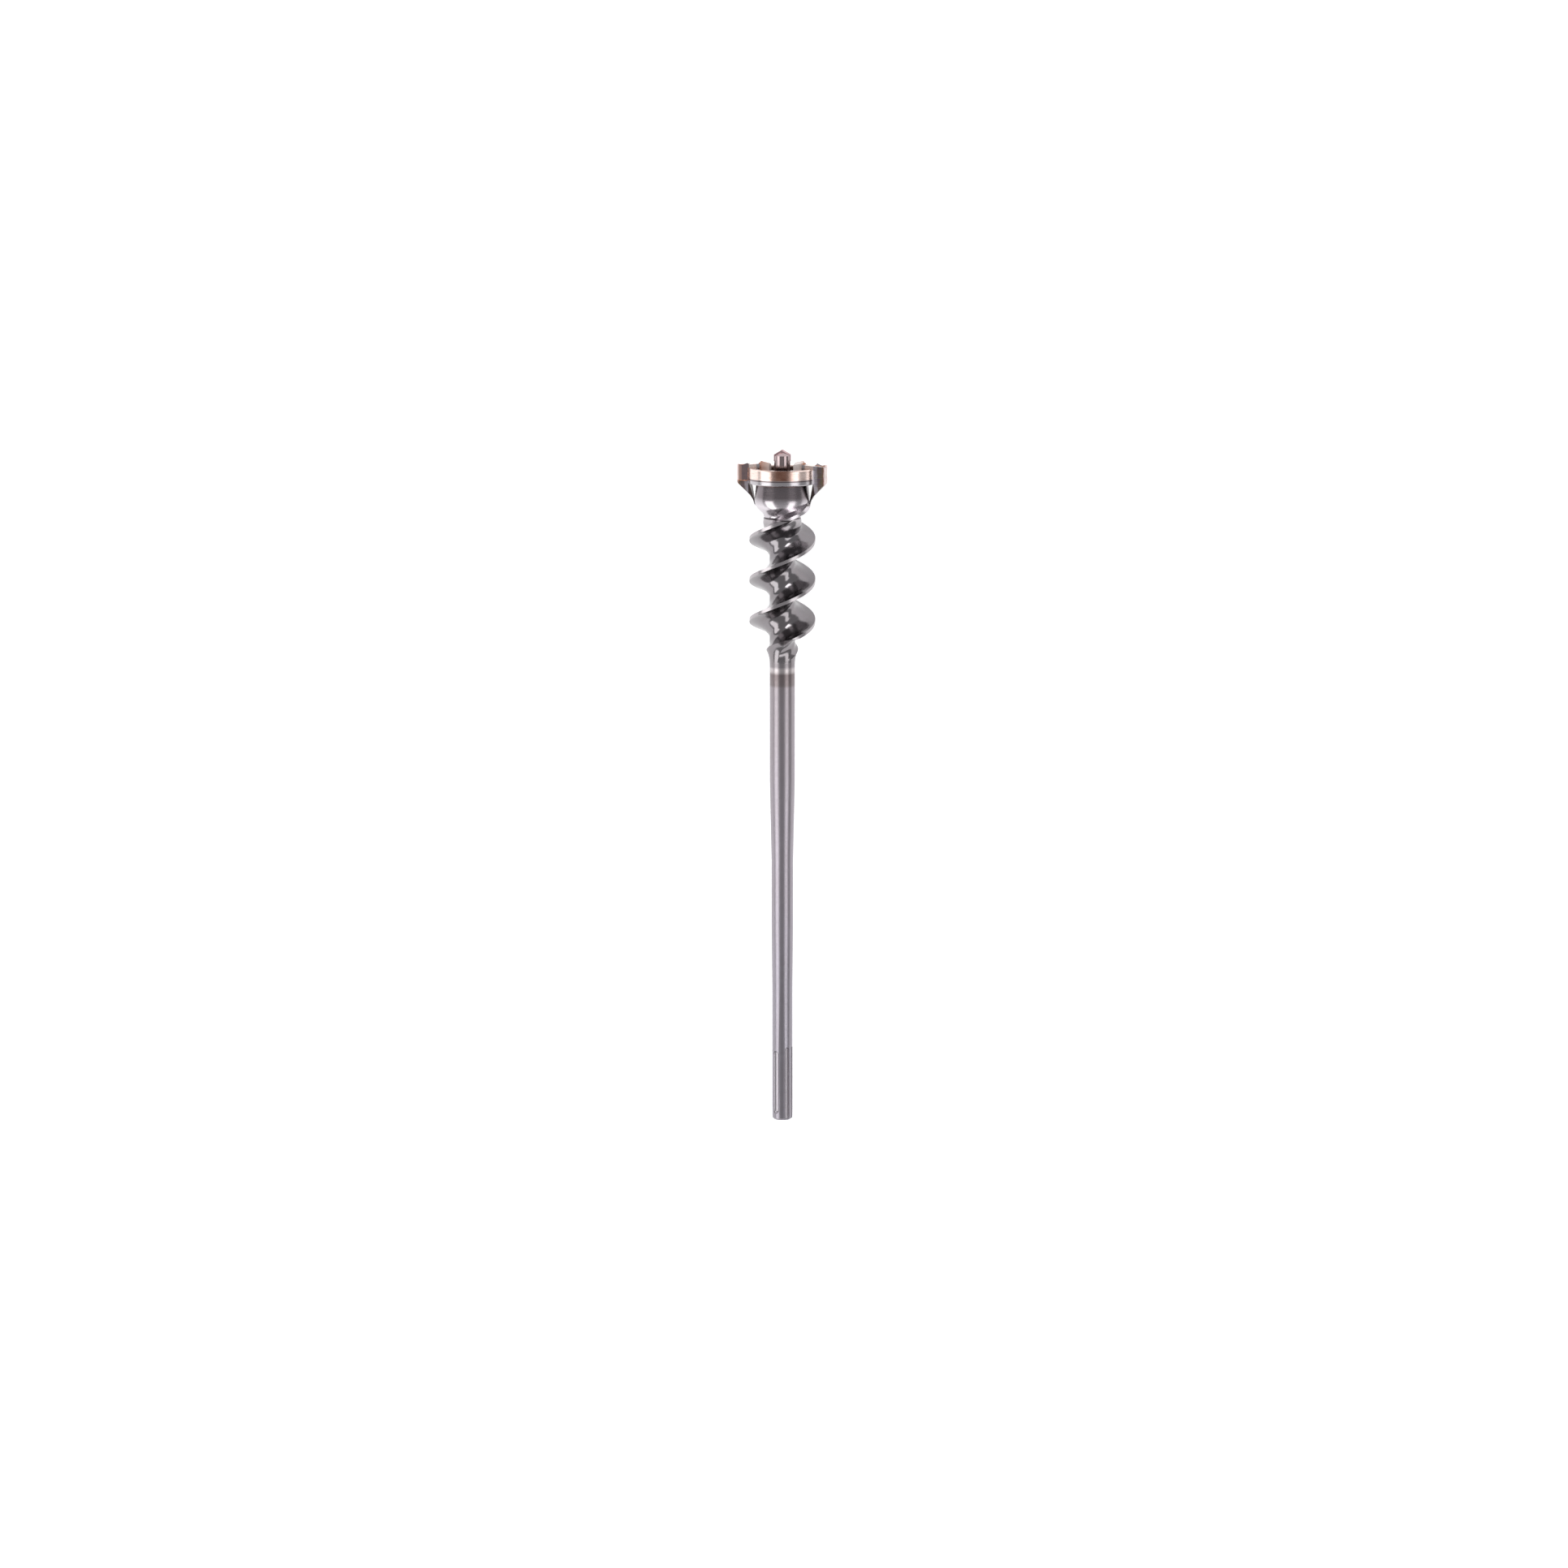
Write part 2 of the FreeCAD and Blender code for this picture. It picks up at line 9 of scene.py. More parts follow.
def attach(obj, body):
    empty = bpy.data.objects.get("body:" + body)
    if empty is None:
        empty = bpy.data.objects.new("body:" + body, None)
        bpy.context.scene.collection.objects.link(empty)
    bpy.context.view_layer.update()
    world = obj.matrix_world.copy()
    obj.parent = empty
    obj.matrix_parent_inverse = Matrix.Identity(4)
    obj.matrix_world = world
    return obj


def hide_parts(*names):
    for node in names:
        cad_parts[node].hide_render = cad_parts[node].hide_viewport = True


# Breakthrough drill bit lying on a pale floor, seen from above with its point at the top.
# Sizes are in millimetres and angles in degrees unless a name says otherwise.
# Blender's own unit is the metre.

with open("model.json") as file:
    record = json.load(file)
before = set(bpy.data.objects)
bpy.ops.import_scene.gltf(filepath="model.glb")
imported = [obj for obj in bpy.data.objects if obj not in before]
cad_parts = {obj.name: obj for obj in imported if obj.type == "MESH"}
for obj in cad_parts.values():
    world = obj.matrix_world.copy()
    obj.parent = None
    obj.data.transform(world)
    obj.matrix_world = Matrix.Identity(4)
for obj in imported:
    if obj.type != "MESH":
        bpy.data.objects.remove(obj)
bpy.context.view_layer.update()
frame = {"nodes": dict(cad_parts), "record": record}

MM = 0.001

# Stations along the bit's own axis, from the shank end towards the point
MOUNT_STATION = 59.8
SLOT_TOP = 66.0
SHANK_TOP = 118.0
WELD_BAND_FOOT = 390.1
WELD_LINE = 404.6
RUNOUT_FOOT = 409.5
SEAM = 539.5
SHOULDER = 550.9
RING_BOTTOM = 570.0
CUP_FLOOR = 572.0
WING_CUTTER_FOOT = 572.5
COPPER_BOTTOM = 574.8
ARM_SEAT = 579.0
RING_TOP = 583.5
POINT = 600.0

# Distances from the axis
PILOT_R = 7.25
SHANK_R = 9.0
INNER_CUTTER_R = 10.4
ARM_STEP_R = 18.9
RING_BORE_R = 23.4
CREST_R = 29.2
WING_CUTTER_R = 29.2
RING_R = 29.8
HEAD_R = 40.0

# Past every station and radius, for a band without an upper edge
PAST_ALL = 700.0

# Spiral and arms; places across an arm run from its leading to its trailing side
LEAD = 72.0
STARTS = 2
ARM_TURN = 13.0
LEADING_FACE = -4.8
INNER_CUTTER_BACK = 2.6

shank_mount = next(m for m in frame["record"]["mounts"] if m["name"] == "shank")
AXIS = -Vector(shank_mount["axis"]).normalized()
TILT = atan2(AXIS.z, AXIS.y)
AXIS_FOOT = Vector(shank_mount["pos_m"]) - AXIS * MOUNT_STATION * MM


def on_bit(x, station, z):
    # a point of the bit's own frame, x to the right, z towards the viewer, placed in the scene
    return AXIS_FOOT + Matrix.Rotation(TILT, 3, "X") @ (Vector((x, station, z)) * MM)


def srgb(code):
    # sRGB hex to the linear colour that the shader wants
    parts = [int(code[i:i + 2], 16) / 255 for i in (0, 2, 4)]
    return [p / 12.92 if p <= 0.04045 else ((p + 0.055) / 1.055) ** 2.4 for p in parts] + [1.0]


# Materials

def add(mat, kind, links=None, **settings):
    # one node with its settings; links gives each input a value or another node's output
    made = mat.node_tree.nodes.new(kind)
    for name, value in settings.items():
        setattr(made, name, value)
    for name, value in (links or {}).items():
        socket = made.inputs[name]
        if isinstance(value, bpy.types.NodeSocket):
            mat.node_tree.links.new(value, socket)
        else:
            socket.default_value = value
    return made


def new_material(name, metallic, roughness):
    # metallic and roughness are plain numbers until a node is linked in their place
    mat = bpy.data.materials.new(name)
    mat.use_nodes = True
    shader = mat.node_tree.nodes["Principled BSDF"]
    shader.inputs["Metallic"].default_value = metallic
    shader.inputs["Roughness"].default_value = roughness
    return mat, shader


def bit_coordinates(mat):
    # the object's coordinates turned on to the bit's axis, in millimetres from the shank end
    coordinates = add(mat, "ShaderNodeTexCoord")
    foot = Matrix.Rotation(-TILT, 3, "X") @ (AXIS_FOOT / MM)
    mapped = add(mat, "ShaderNodeMapping", {
        "Vector": coordinates.outputs["Object"],
        "Location": -foot,
        "Rotation": (-TILT, 0, 0),
        "Scale": (1 / MM, 1 / MM, 1 / MM),
    })
    return mapped.outputs["Vector"]


def x_station_z(mat, bit):
    split = add(mat, "ShaderNodeSeparateXYZ", {"Vector": bit})
    return split.outputs["X"], split.outputs["Y"], split.outputs["Z"]


def distance_from_axis(mat, bit):
    flat = add(mat, "ShaderNodeVectorMath", {0: bit, 1: (1, 0, 1)}, operation="MULTIPLY")
    radius = add(mat, "ShaderNodeVectorMath", {0: flat.outputs["Vector"]}, operation="LENGTH")
    return radius.outputs["Value"]


def band(mat, value, rise, fall, soft):
    # 1 between rise and fall and 0 outside them, with edges as soft as soft says
    up = add(mat, "ShaderNodeMapRange", {
        "Value": value, "From Min": rise - soft, "From Max": rise + soft,
    }, interpolation_type="SMOOTHSTEP")
    down = add(mat, "ShaderNodeMapRange", {
        "Value": value, "From Min": fall - soft, "From Max": fall + soft, "To Min": 1.0, "To Max": 0.0,
    }, interpolation_type="SMOOTHSTEP")
    both = add(mat, "ShaderNodeMath", {0: up.outputs[0], 1: down.outputs[0]}, operation="MULTIPLY")
    return both.outputs[0]


def overlap(mat, masks):
    # 1 only where every mask is 1
    shared = masks[0]
    for mask in masks[1:]:
        shared = add(mat, "ShaderNodeMath", {0: shared, 1: mask}, operation="MULTIPLY").outputs[0]
    return shared


def faint(mat, mask, share):
    # the same mask, with only a share of its strength
    return add(mat, "ShaderNodeMath", {0: mask, 1: share}, operation="MULTIPLY").outputs[0]


def layered(mat, colour, films):
    # lays each film's colour over what is below it, as strongly as its mask says
    for mask, film in films:
        mixed = add(mat, "ShaderNodeMix", {0: mask, 6: colour, 7: film}, data_type="RGBA")
        colour = mixed.outputs[2]
    return colour


def colours_along(mat, value, stops):
    # colours at places of a value; stops are (place, sRGB hex)
    first, last = stops[0][0], stops[-1][0]
    share = add(mat, "ShaderNodeMapRange", {"Value": value, "From Min": first, "From Max": last})
    made = add(mat, "ShaderNodeValToRGB", {"Fac": share.outputs[0]})
    elements = made.color_ramp.elements
    while len(elements) < len(stops):
        elements.new(1.0)
    for element, (place, code) in zip(elements, stops):
        element.position = (place - first) / (last - first)
        element.color = srgb(code)
    return made.outputs["Color"]


def clouds(mat, place, sizes_mm, seed):
    # soft noise, with the size of its patches given for each direction of place
    scaled = add(mat, "ShaderNodeVectorMath", {
        0: place, 1: tuple(1 / size for size in sizes_mm),
    }, operation="MULTIPLY")
    noise = add(mat, "ShaderNodeTexNoise", {
        "Vector": scaled.outputs["Vector"], "W": seed, "Scale": 1.0, "Detail": 3.0, "Roughness": 0.6,
    }, noise_dimensions="4D")
    return noise.outputs[0]


def finish(mat, shader, colour, grain, rough, relief_mm):
    # the grain, which stays between about 0.3 and 0.7, runs the roughness between two values
    # and gives the skin its relief
    rough_here = add(mat, "ShaderNodeMapRange", {
        "Value": grain, "From Min": 0.3, "From Max": 0.7, "To Min": rough[0], "To Max": rough[1],
    })
    relief = add(mat, "ShaderNodeBump", {"Height": grain, "Strength": 0.6, "Distance": relief_mm * MM})
    mat.node_tree.links.new(colour, shader.inputs["Base Color"])
    mat.node_tree.links.new(rough_here.outputs[0], shader.inputs["Roughness"])
    mat.node_tree.links.new(relief.outputs["Normal"], shader.inputs["Normal"])


def bar_colour(mat, bit, station, radius, crest):
    steel = colours_along(mat, station, [
        (0.0, "8d8a92"),
        (SHANK_TOP, "918e97"),
        (215.0, "969199"),
        (250.0, "97929a"),
        # the heat of the weld between shaft and spiral leaves a dark band and a bright line
        (WELD_BAND_FOOT - 0.5, "938d92"),
        (WELD_BAND_FOOT + 0.5, "7d7577"),
        (WELD_LINE - 3.2, "746b6c"),
        (WELD_LINE - 0.7, "c6c0c0"),
        (WELD_LINE + 0.8, "c0babb"),
        (WELD_LINE + 2.0, "8d888c"),
        (WELD_LINE + 10.4, "817e81"),
        (POINT, "7d7b7f"),
    ])
    # brown stain of mill oil, in patches drawn out along the bar
    stain = clouds(mat, bit, (7.0, 40.0, 7.0), 3.0)
    # a bare band where the head is welded on, and a thin dark line at the weld that is partly painted shade
    # at the seam's step
    head_weld_band = band(mat, station, SEAM - 5.0, SEAM + 5.0, 4.0)
    head_seam_line_and_shade = band(mat, station, SEAM - 0.5, SEAM + 5.0, 0.2)
    # the shank's slots are painted a little paler than the ground skin around them, painted light that
    # lifts the shade in their hollows
    slots = overlap(mat, [
        band(mat, radius, 0.0, SHANK_R - 0.4, 0.25),
        band(mat, station, 1.7, SLOT_TOP, 0.3),
    ])
    return layered(mat, steel, [
        (faint(mat, stain, 0.4), srgb("786c69")),
        (crest, srgb("9f9a9c")),
        (head_weld_band, srgb("a09b9d")),
        (head_seam_line_and_shade, srgb("4c4648")),
        (slots, srgb("a8a3a8")),
    ])


def along_flutes(mat, bit, radius):
    # place across the flutes: it stays the same along the spiral and comes back after a pitch
    x, station, z = x_station_z(mat, bit)
    pitch = LEAD / STARTS
    angle = add(mat, "ShaderNodeMath", {0: x, 1: z}, operation="ARCTAN2").outputs[0]
    back = add(mat, "ShaderNodeMath", {0: angle, 1: -float(STARTS)}, operation="MULTIPLY").outputs[0]
    phase = add(mat, "ShaderNodeMath", {
        0: station, 1: 2 * pi / pitch, 2: back,
    }, operation="MULTIPLY_ADD").outputs[0]
    reach = pitch / (2 * pi)
    turns = []
    for operation in ("SINE", "COSINE"):
        wave = add(mat, "ShaderNodeMath", {0: phase}, operation=operation).outputs[0]
        turns.append(add(mat, "ShaderNodeMath", {0: wave, 1: reach}, operation="MULTIPLY").outputs[0])
    place = add(mat, "ShaderNodeCombineXYZ", {"X": turns[0], "Y": turns[1], "Z": radius})
    return place.outputs["Vector"]


def turned_and_milled_steel():
    # Alloy steel bar: ground shank, turned shaft, milled flutes.
    # Satin, so the lamps show as soft strips along the bar and as bent patches in the flutes.
    mat, shader = new_material("turned and milled alloy steel", 1.0, 0.25)
    bit = bit_coordinates(mat)
    station = x_station_z(mat, bit)[1]
    radius = distance_from_axis(mat, bit)
    # the crests rub on the hole's wall, which leaves them paler and duller than the flutes
    crest = band(mat, radius, CREST_R - 0.3, CREST_R + 1.0, 0.1)
    colour = bar_colour(mat, bit, station, radius, crest)
    # turning marks stand about 0.2 mm apart, drawn at 0.8 mm so that they show
    rings = clouds(mat, bit, (16.0, 0.8, 16.0), 1.0)
    # milling marks run along the flutes, drawn at 1 mm for the same reason
    flutes = clouds(mat, along_flutes(mat, bit, radius), (1.0, 1.0, 1.0), 2.0)
    on_spiral = band(mat, station, RUNOUT_FOOT + 3.0, PAST_ALL, 3.0)
    grain = add(mat, "ShaderNodeMix", {0: on_spiral, 2: rings, 3: flutes}, data_type="FLOAT").outputs[0]
    # the chips that run through the flutes polish them
    rough = []
    for on_shaft, in_flutes in ((0.28, 0.13), (0.4, 0.22)):
        here = add(mat, "ShaderNodeMapRange", {
            "Value": on_spiral, "To Min": on_shaft, "To Max": in_flutes,
        }).outputs[0]
        here = add(mat, "ShaderNodeMath", {0: crest, 1: 0.08, 2: here}, operation="MULTIPLY_ADD").outputs[0]
        rough.append(here)
    finish(mat, shader, colour, grain, rough, 0.007)
    return mat


def cup_steel_with_painted_light(mat, station):
    # a painted highlight round the shoulder and the neck, painted shade on the wall, and lighter again on
    # the ring's foot
    return colours_along(mat, station, [
        (SEAM, "b0aaae"),
        (SHOULDER, "c8c2c6"),
        (SHOULDER + 4.0, "aba5a9"),
        (SHOULDER + 8.0, "766e71"),
        (RING_BOTTOM - 0.5, "726b6e"),
        (RING_BOTTOM + 0.5, "aeaaad"),
        (COPPER_BOTTOM, "a5a1a4"),
    ])


def ring_films(mat, bit, x, station, radius, film, rings):
    # copper left on the ring by the brazing, with a darker copper painted on the middle of its front as
    # painted shade
    copper = colours_along(mat, rings, [
        (0.3, "d0b0a3"), (0.45, "e6d5cd"), (0.58, "dcc3b9"), (0.7, "f0e4de"),
    ])
    painted_shade_copper = colours_along(mat, film, [(0.35, "7f584b"), (0.65, "9b7464")])
    on_ring = overlap(mat, [
        band(mat, station, COPPER_BOTTOM, PAST_ALL, 0.5),
        band(mat, radius, RING_BORE_R - 0.6, PAST_ALL, 0.5),
    ])
    painted_shade_copper_here = overlap(mat, [
        on_ring,
        band(mat, x, -10.0, 8.0, 7.0),
        band(mat, radius, RING_R - 1.5, PAST_ALL, 0.3),
    ])
    scorched_line = overlap(mat, [
        band(mat, station, COPPER_BOTTOM - 1.3, COPPER_BOTTOM - 0.4, 0.35),
        band(mat, radius, RING_R - 1.5, RING_R + 0.5, 0.3),
    ])
    return [(on_ring, copper), (painted_shade_copper_here, painted_shade_copper), (scorched_line, srgb("5e5050"))]


def arm_heat_and_painted_light(mat, bit, film):
    # colours by distance out along the arms, the same for both: a painted highlight on the fillet by the
    # ring, painted shade on the flank, a dark red heat line, and a painted highlight on the outer edge
    turn = radians(ARM_TURN)
    out = add(mat, "ShaderNodeVectorMath", {0: bit, 1: (cos(turn), 0, sin(turn))}, operation="DOT_PRODUCT")
    reach = add(mat, "ShaderNodeMath", {0: out.outputs["Value"]}, operation="ABSOLUTE").outputs[0]
    # the colours run unevenly, up to this much farther in or out, the heat colours as the flame went
    wander_mm = 1.2
    uneven = add(mat, "ShaderNodeMath", {
        0: film, 1: 2 * wander_mm, 2: -wander_mm,
    }, operation="MULTIPLY_ADD").outputs[0]
    reach = add(mat, "ShaderNodeMath", {0: reach, 1: uneven}, operation="ADD").outputs[0]
    heat_and_painted_light = colours_along(mat, reach, [
        (29.5, "aaa4ad"),
        (32.2, "a19ba3"),
        (33.5, "5f5250"),
        (35.5, "584b49"),
        (37.0, "64563f"),
        (38.0, "6b5a42"),
        (38.3, "78382e"),
        (38.7, "b58a80"),
        (39.0, "f0dbd6"),
        (41.0, "f4e2dc"),
    ])
    # patches of violet, brown and olive oxide
    patches = clouds(mat, bit, (2.2, 2.2, 2.2), 13.0)
    oxides = colours_along(mat, patches, [(0.38, "5c4f68"), (0.5, "66544f"), (0.62, "5f6048")])
    return layered(mat, heat_and_painted_light, [(faint(mat, film, 0.7), oxides)])


def forged_head_steel():
    # Forged and turned head: grey satin steel, a copper film on the ring from brazing,
    # and blue, brown, olive and dark red heat colours on the arms beside the carbide.
    # Painted highlights and painted shade lie over these on the cup, the ring, the arms and the struts, and
    # inside the cup.
    mat, shader = new_material("forged head steel with copper film", 1.0, 0.28)
    bit = bit_coordinates(mat)
    x, station = x_station_z(mat, bit)[:2]
    radius = distance_from_axis(mat, bit)
    film = clouds(mat, bit, (5.0, 5.0, 5.0), 11.0)
    # turning marks stand about 0.2 mm apart, drawn at 0.7 mm so that they show
    rings = clouds(mat, bit, (14.0, 0.7, 14.0), 4.0)
    beside_ring = overlap(mat, [
        band(mat, radius, RING_R + 0.4, PAST_ALL, 0.4),
        band(mat, station, SHOULDER, PAST_ALL, 0.5),
    ])
    # the struts under the arms are painted dark, a painted shade under the arms
    on_strut = overlap(mat, [
        band(mat, radius, RING_BORE_R + 1.6, PAST_ALL, 0.2),
        band(mat, station, SHOULDER, RING_BOTTOM - 1.0, 1.0),
    ])
    # the inside of the cup is painted dark brown, a painted shade in the hollow
    cup_hollow_shade = colours_along(mat, film, [(0.35, "55443c"), (0.65, "8c6657")])
    inside = overlap(mat, [
        band(mat, radius, -1.0, RING_BORE_R - 0.1, 0.3),
        band(mat, station, CUP_FLOOR - 3.0, RING_TOP - 0.5, 1.5),
    ])
    # a thin dark line at the seam: the weld joint, and partly painted shade at its step
    seam_line_and_shade = band(mat, station, SEAM - 5.0, SEAM + 0.7, 0.3)
    colour = layered(mat, cup_steel_with_painted_light(mat, station), [
        (seam_line_and_shade, srgb("4c4648")),
        (on_strut, srgb("4a403e")),
        *ring_films(mat, bit, x, station, radius, film, rings),
        (beside_ring, arm_heat_and_painted_light(mat, bit, film)),
        (inside, cup_hollow_shade),
    ])
    # the oxide film on the arms hides half of the bare metal's shine
    metal = add(mat, "ShaderNodeMapRange", {"Value": beside_ring, "To Min": 1.0, "To Max": 0.5})
    mat.node_tree.links.new(metal.outputs[0], shader.inputs["Metallic"])
    finish(mat, shader, colour, rings, (0.18, 0.3), 0.015)
    return mat


def turned_pilot_steel():
    # Turned pilot stem with a faint copper wash, glossy enough for narrow bright stripes.
    mat, shader = new_material("turned pilot steel with copper wash", 1.0, 0.2)
    bit = bit_coordinates(mat)
    station = x_station_z(mat, bit)[1]
    colour = colours_along(mat, station, [
        (CUP_FLOOR, "755d54"),
        (RING_TOP + 0.5, "8f8587"),
        (POINT - 8.0, "978c8e"),
        (POINT, "a08c8f"),
    ])
    wash = clouds(mat, bit, (4.0, 8.0, 4.0), 9.0)
    colour = layered(mat, colour, [(faint(mat, wash, 0.25), srgb("a07a6e"))])
    # turning marks, drawn at 0.6 mm so that they show
    rings = clouds(mat, bit, (9.0, 0.6, 9.0), 8.0)
    finish(mat, shader, colour, rings, (0.09, 0.18), 0.008)
    return mat


def sintered_carbide(name, metallic, stops, seed):
    # Sintered tungsten carbide: fine even grain and a dull sheen, flushed by the brazing flame.
    # It is given less metallic where it is painted pale, as painted light. The stops are colours by
    # distance from the axis.
    mat, shader = new_material(name, metallic, 0.35)
    bit = bit_coordinates(mat)
    carbide = colours_along(mat, distance_from_axis(mat, bit), stops)
    flush = clouds(mat, bit, (2.5, 2.5, 2.5), seed)
    colour = layered(mat, carbide, [(faint(mat, flush, 0.5), srgb("8a6e68"))])
    # real grains are a few thousandths of a millimetre, drawn at 0.4 mm so that they show
    grain = clouds(mat, bit, (0.4, 0.4, 0.4), seed + 1)
    finish(mat, shader, colour, grain, (0.26, 0.4), 0.012)
    return mat


def copper_braze():
    # Flame-brazed copper alloy: uneven and warm, painted brighter on the swells and darker in the hollows,
    # as painted highlight and painted shade.
    mat, shader = new_material("copper braze", 1.0, 0.35)
    lumps = clouds(mat, bit_coordinates(mat), (1.2, 1.2, 1.2), 51.0)
    colour = colours_along(mat, lumps, [(0.3, "6f4c40"), (0.5, "ab7963"), (0.7, "d3a995")])
    finish(mat, shader, colour, lumps, (0.25, 0.5), 0.12)
    return mat


def dress(node, mat):
    mesh = frame["nodes"][node].data
    mesh.materials.clear()
    mesh.materials.append(mat)


def new_piece(name, mesh, mat):
    made = bpy.data.meshes.new(name)
    mesh.to_mesh(made)
    mesh.free()
    made.materials.append(mat)
    piece = bpy.data.objects.new(name, made)
    bpy.context.collection.objects.link(piece)
    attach(piece, "root")
    return piece


# Carbide with its ground edges broken, in place of the plain pieces

TIP_BREAK = 0.2
CUTTER_BREAK = 0.25
SAME_POINT = 0.001
FLAT_WITHIN = 1
SHARP_FROM = 20


def edge_broken(node, mat, break_mm):
    mesh = bmesh.new()
    mesh.from_mesh(frame["nodes"][node].data)
    bmesh.ops.remove_doubles(mesh, verts=mesh.verts, dist=SAME_POINT * MM)
    bmesh.ops.dissolve_limit(
        mesh, angle_limit=radians(FLAT_WITHIN), verts=mesh.verts, edges=mesh.edges,
    )
    paired = [e for e in mesh.edges if len(e.link_faces) == 2]
    sharp = [e for e in paired if e.calc_face_angle() > radians(SHARP_FROM)]
    bmesh.ops.bevel(
        mesh, geom=sharp, offset=break_mm * MM, segments=2, profile=0.5,
        affect="EDGES", material=-1,
    )
    piece = new_piece(node + "_edges_broken", mesh, mat)
    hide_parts(node)


# Braze beads along the joints of the carbide and the pilot

BEAD_SIDES = 8
BEAD_STEP = 0.6
BEAD_END_SHARE = 0.45
COLLAR_STEPS = 72

# Waves of a bead's thickness: share of the radius, angle for each step in radians, share of the start
BEAD_WAVES = ((0.3, 0.61, 1), (0.2, 1.43, 2), (0.1, 2.9, 0))

# No bead runs this way, so it gives each ring of a bead a side to start from
OFF_EVERY_BEAD = Vector((0.2, 0.9, 0.4))


def on_arm(side, out, station, across):
    # side is 1 for the right arm and -1 for the left
    turn = radians(ARM_TURN)
    x = out * cos(turn) - across * sin(turn)
    z = out * sin(turn) + across * cos(turn)
    return on_bit(side * x, station, side * z)


def bead_path(start, end):
    count = max(2, round((end - start).length / (BEAD_STEP * MM)))
    return [start.lerp(end, i / count) for i in range(count + 1)]


def square_to(point, ahead):
    # a plane through the point with the path's direction as its normal
    aside = ahead.cross(OFF_EVERY_BEAD).normalized()
    up = ahead.cross(aside)
    return Matrix.Translation(point) @ Matrix((aside, up, ahead)).transposed().to_4x4()


def edges_of(ring):
    # the ring's own edges in order, without those that lead to its neighbours
    pairs = zip(ring, ring[1:] + ring[:1])
    return [e for a, b in pairs for e in a.link_edges if e.other_vert(a) == b]


def bead(mesh, path, radius_mm, closed):
    # a drawn-out drop of braze whose thickness swells and shrinks along its path
    rings = []
    last = len(path) - 1
    start = 5 * radius_mm + len(path)
    for i, point in enumerate(path):
        after = path[(i + 1) % len(path)] if closed else path[min(i + 1, last)]
        before = path[i - 1] if closed or i else path[0]
        at_end = not closed and i in (0, last)
        swell = 1 + sum(share * sin(angle * i + shift * start) for share, angle, shift in BEAD_WAVES)
        if at_end:
            swell *= BEAD_END_SHARE
        ring = bmesh.ops.create_circle(
            mesh, cap_ends=at_end, radius=radius_mm * swell * MM, segments=BEAD_SIDES,
            matrix=square_to(point, (after - before).normalized()),
        )
        rings.append(ring["verts"])
    spans = list(zip(rings, rings[1:])) + ([(rings[-1], rings[0])] if closed else [])
    for low, high in spans:
        bmesh.ops.bridge_loops(mesh, edges=edges_of(low) + edges_of(high))


def braze_piece(name, beads, mat):
    mesh = bmesh.new()
    for path, radius_mm, closed in beads:
        bead(mesh, path, radius_mm, closed)
    bmesh.ops.recalc_face_normals(mesh, faces=mesh.faces)
    for face in mesh.faces:
        face.smooth = True
    new_piece(name, mesh, mat)


def arm_beads(side):
    # each bead runs between two places, given as out, station and across, and has its radius
    joints = [
        # foot of the wing cutter, and the corner between its face and the ring
        ((WING_CUTTER_R + 0.7, WING_CUTTER_FOOT - 0.2, LEADING_FACE - 0.15),
         (HEAD_R - 1.0, WING_CUTTER_FOOT - 0.2, LEADING_FACE - 0.15), 0.45),
        ((WING_CUTTER_R + 0.35, WING_CUTTER_FOOT + 0.1, LEADING_FACE - 0.3),
         (WING_CUTTER_R + 0.35, RING_TOP + 0.1, LEADING_FACE - 0.3), 0.4),
        # top of the wing cutter's pocket
        ((WING_CUTTER_R + 0.4, RING_TOP + 2.7, 0.1), (HEAD_R - 1.1, RING_TOP + 1.9, 0.1), 0.4),
        # back, foot and both sides of the inner cutter
        ((ARM_STEP_R + 0.4, RING_TOP + 3.5, LEADING_FACE + 0.5),
         (ARM_STEP_R + 0.4, RING_TOP + 3.5, INNER_CUTTER_BACK), 1.1),
        ((INNER_CUTTER_R + 0.6, ARM_SEAT + 0.2, INNER_CUTTER_BACK + 0.2),
         (ARM_STEP_R - 0.3, ARM_SEAT + 0.2, INNER_CUTTER_BACK + 0.2), 0.5),
        ((ARM_STEP_R, ARM_SEAT + 0.4, INNER_CUTTER_BACK + 0.2),
         (ARM_STEP_R, RING_TOP + 3.4, INNER_CUTTER_BACK + 0.2), 0.6),
        ((ARM_STEP_R, ARM_SEAT + 0.4, LEADING_FACE - 0.05),
         (ARM_STEP_R, RING_TOP + 3.4, LEADING_FACE - 0.05), 0.55),
        ((INNER_CUTTER_R + 0.6, ARM_SEAT, LEADING_FACE - 0.05),
         (ARM_STEP_R - 0.3, ARM_SEAT, LEADING_FACE - 0.05), 0.4),
    ]
    return [(bead_path(on_arm(side, *a), on_arm(side, *b)), radius, False) for a, b, radius in joints]


def pilot_beads():
    turns = [2 * pi * i / COLLAR_STEPS for i in range(COLLAR_STEPS)]
    bead_r = PILOT_R + 0.1
    collar = [on_bit(bead_r * sin(t), CUP_FLOOR + 0.2, bead_r * cos(t)) for t in turns]
    return [(collar, 0.6, True)]


dress("spiral_shaft", turned_and_milled_steel())
dress("cutter_head", forged_head_steel())
dress("pilot_stem", turned_pilot_steel())
tip_carbide = sintered_carbide("sintered carbide pilot tip", 1.0, [
    (0, "c0a3a6"), (4, "bfa4a7"), (8, "9c8488"),
], 21.0)
